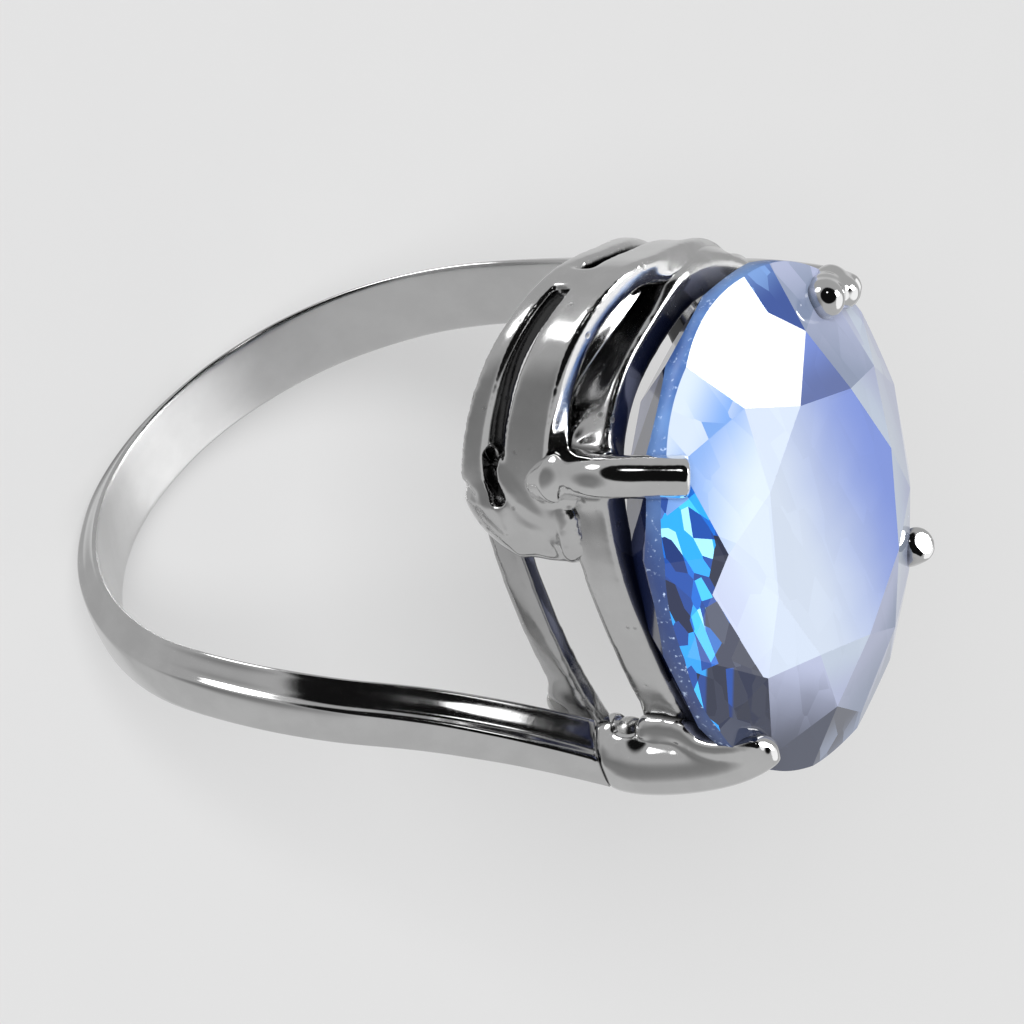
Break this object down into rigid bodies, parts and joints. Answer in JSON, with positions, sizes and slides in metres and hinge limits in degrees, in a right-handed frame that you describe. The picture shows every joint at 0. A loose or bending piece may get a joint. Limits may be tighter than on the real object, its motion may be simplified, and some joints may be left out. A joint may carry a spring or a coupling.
{
  "type": "cocktail ring",
  "caption": "Oval faceted stone held by bent round claws on a pierced gallery, over a slim polished band whose arms cross to opposite corners.",
  "frame": {"origin": "centre of the finger hole", "axes": "+Z from the finger up through the stone, Y along the finger, X across it"},
  "size_m": [0.0186, 0.0174, 0.0234],
  "materials": {
    "stone": "sapphire blue faceted stone, polished facets with a frosted girdle",
    "claw_metal": "bright polished white metal wire",
    "band_metal": "polished white metal, slightly hand worn",
    "gallery_metal": "polished white metal with fine casting pits",
    "rail_metal": "polished white metal, rougher on the underside",
    "solder": "solder beads, brushed over"
  },
  "bodies": {
    "root": {"centre_stone": "stone", "claw_front_right": "claw_metal", "claw_rear_right": "claw_metal", "claw_rear_left": "claw_metal", "claw_front_left": "claw_metal", "shank": "band_metal", "front_gallery_wall": "gallery_metal", "rear_gallery_wall": "gallery_metal", "seat_rail": "rail_metal", "side_rail_right": "rail_metal", "side_rail_left": "rail_metal", "solder_bead_low": "solder", "solder_bead_middle": "solder", "solder_bead_high": "solder"}
  },
  "joints": []
}
